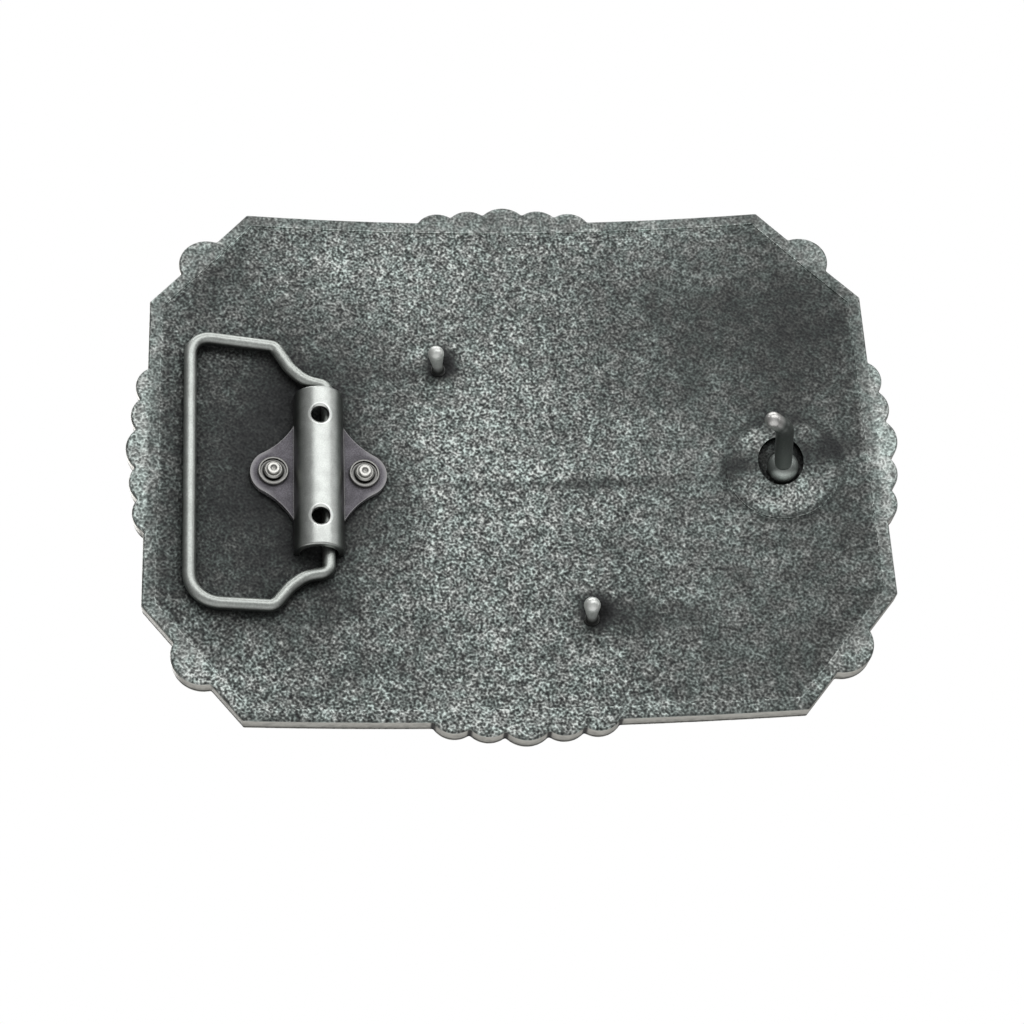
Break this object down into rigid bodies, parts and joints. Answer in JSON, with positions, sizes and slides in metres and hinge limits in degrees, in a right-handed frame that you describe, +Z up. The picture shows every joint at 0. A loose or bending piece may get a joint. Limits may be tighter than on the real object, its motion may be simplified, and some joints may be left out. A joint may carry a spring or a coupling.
{
  "type": "western belt buckle",
  "caption": "Western trophy belt buckle: curved cast plate with a scalloped octagonal outline, a folding wire bale for the strap end, a bent hook and belt pegs on the back.",
  "frame": {"origin": "middle of the plate's back face (the side that lies on the belt)", "axes": "as worn: +Z up, +Y from the back face towards the wearer, -Y out of the ornamental front, +X towards the folded bale"},
  "size_m": [0.1142, 0.0223, 0.0888],
  "materials": {
    "plate_metal": "antiqued silver plate, speckled",
    "hook_metal": "satin",
    "peg_metal": "satin",
    "bracket_metal": "brushed",
    "rivet_metal": "polished",
    "washer_metal": "polished",
    "bale_wire": "satin"
  },
  "bodies": {
    "buckle": {"buckle_plate": "plate_metal", "belt_hook": "hook_metal", "upper_peg": "peg_metal", "lower_peg": "peg_metal", "bale_bracket": "bracket_metal", "bracket_rivets": "rivet_metal", "rivet_washers": "washer_metal"},
    "bale": {"bale_loop": "bale_wire"}
  },
  "joints": [
    {"name": "bale_swing", "type": "hinge", "parent": "buckle", "child": "bale", "pos_m": [0.02779, 0.00251, -0.0031], "axis": [0, 0, 1], "range_deg": [0, 175]}
  ]
}
